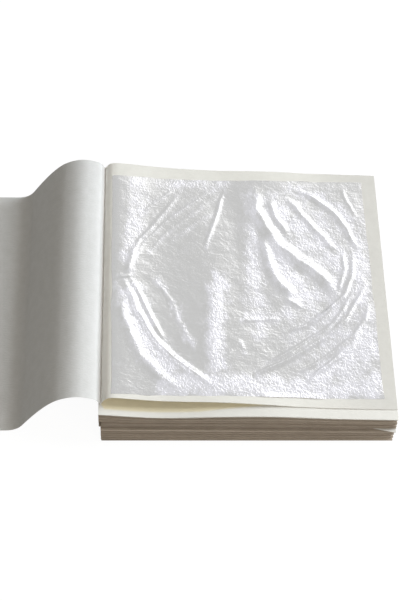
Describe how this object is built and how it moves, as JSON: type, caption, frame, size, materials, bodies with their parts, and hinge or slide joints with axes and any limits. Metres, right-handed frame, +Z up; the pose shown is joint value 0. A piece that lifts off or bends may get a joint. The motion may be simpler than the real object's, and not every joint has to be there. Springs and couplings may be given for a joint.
{
  "type": "silver leaf booklet",
  "caption": "Open silver leaf booklet on a pile of closed booklets: the top tissue sheet is turned back over the spine and shows a crinkled square leaf on its page.",
  "frame": {"origin": "middle of the pile's underside, on the table", "axes": "+X from the spine to the fore-edge, +Y away from the reader, +Z up"},
  "size_m": [0.2778, 0.1561, 0.0355],
  "materials": {
    "tissue": "matt uncoated tissue",
    "page_edges": "cut edges of stacked tissue",
    "silver": "thin crinkled leaf, satin",
    "paste": "dried bookbinding paste"
  },
  "bodies": {
    "booklet_4": {"booklet_4_cover": "tissue", "booklet_4_leaf": "silver", "booklet_4_packet_1": "page_edges", "booklet_4_packet_2": "page_edges", "booklet_4_packet_3": "page_edges", "booklet_4_back_sheet": "tissue", "booklet_4_spine_glue": "paste"},
    "booklet_3": {"booklet_3_cover": "tissue", "booklet_3_leaf": "silver", "booklet_3_packet_1": "page_edges", "booklet_3_packet_2": "page_edges", "booklet_3_packet_3": "page_edges", "booklet_3_back_sheet": "tissue", "booklet_3_spine_glue": "paste"},
    "booklet_2": {"booklet_2_cover": "tissue", "booklet_2_leaf": "silver", "booklet_2_packet_1": "page_edges", "booklet_2_packet_2": "page_edges", "booklet_2_packet_3": "page_edges", "booklet_2_back_sheet": "tissue", "booklet_2_spine_glue": "paste"},
    "open_booklet": {"next_sheet_upper": "tissue", "second_leaf": "silver", "next_sheet_lower": "tissue", "open_packet_1": "page_edges", "open_packet_2": "page_edges", "open_packet_3": "page_edges", "open_packet_4": "page_edges", "open_packet_5": "page_edges", "open_packet_6": "page_edges", "open_back_sheet": "tissue", "open_spine_glue": "paste", "sheet_fold": "tissue"},
    "page": {"leaf_page": "tissue"},
    "leaf": {"silver_leaf": "silver"},
    "turn_1": {"turned_half_1": "tissue"},
    "turn_2": {"turned_half_2": "tissue"},
    "turn_3": {"turned_half_3": "tissue"},
    "turn_4": {"turned_half_4": "tissue"},
    "turn_5": {"turned_half_5": "tissue"}
  },
  "joints": [
    {"name": "lift_booklet_3", "type": "slide", "parent": "booklet_4", "child": "booklet_3", "axis": [0, 0, 1], "range_m": [0, 0.05]},
    {"name": "lift_booklet_2", "type": "slide", "parent": "booklet_3", "child": "booklet_2", "axis": [0, 0, 1], "range_m": [0, 0.05]},
    {"name": "lift_open_booklet", "type": "slide", "parent": "booklet_2", "child": "open_booklet", "axis": [0, 0, 1], "range_m": [0, 0.05]},
    {"name": "page_turn", "type": "hinge", "parent": "open_booklet", "child": "page", "pos_m": [-0.0744, 0.0057, 0.0273], "axis": [0, 1, 0], "range_deg": [-40, 0]},
    {"name": "leaf_lift", "type": "slide", "parent": "page", "child": "leaf", "axis": [0, 0, -1], "range_m": [-0.05, 0]},
    {"name": "sheet_turn", "type": "hinge", "parent": "open_booklet", "child": "turn_1", "pos_m": [-0.0754, 0.0057, 0.02729], "axis": [0, 1, 0], "range_deg": [0, 47]},
    {"name": "bend_2", "type": "hinge", "parent": "turn_1", "child": "turn_2", "pos_m": [-0.07825, 0.0057, 0.03313], "axis": [0, 1, 0], "range_deg": [0, 87.1]},
    {"name": "bend_3", "type": "hinge", "parent": "turn_2", "child": "turn_3", "pos_m": [-0.08962, 0.0057, 0.03544], "axis": [0, 1, 0], "range_deg": [0, 81.1]},
    {"name": "bend_4", "type": "hinge", "parent": "turn_3", "child": "turn_4", "pos_m": [-0.10265, 0.0057, 0.02743], "axis": [0, 1, 0], "range_deg": [0, 29.1]},
    {"name": "bend_5", "type": "hinge", "parent": "turn_4", "child": "turn_5", "pos_m": [-0.11867, 0.0057, 0.00022], "axis": [0, 1, 0], "range_deg": [-61.1, 0]}
  ],
  "couplings": [
    {"joint": "bend_2", "follows": "sheet_turn", "ratio": 1.8511},
    {"joint": "bend_3", "follows": "sheet_turn", "ratio": 1.7234},
    {"joint": "bend_4", "follows": "sheet_turn", "ratio": 0.61702},
    {"joint": "bend_5", "follows": "sheet_turn", "ratio": -1.2979}
  ]
}
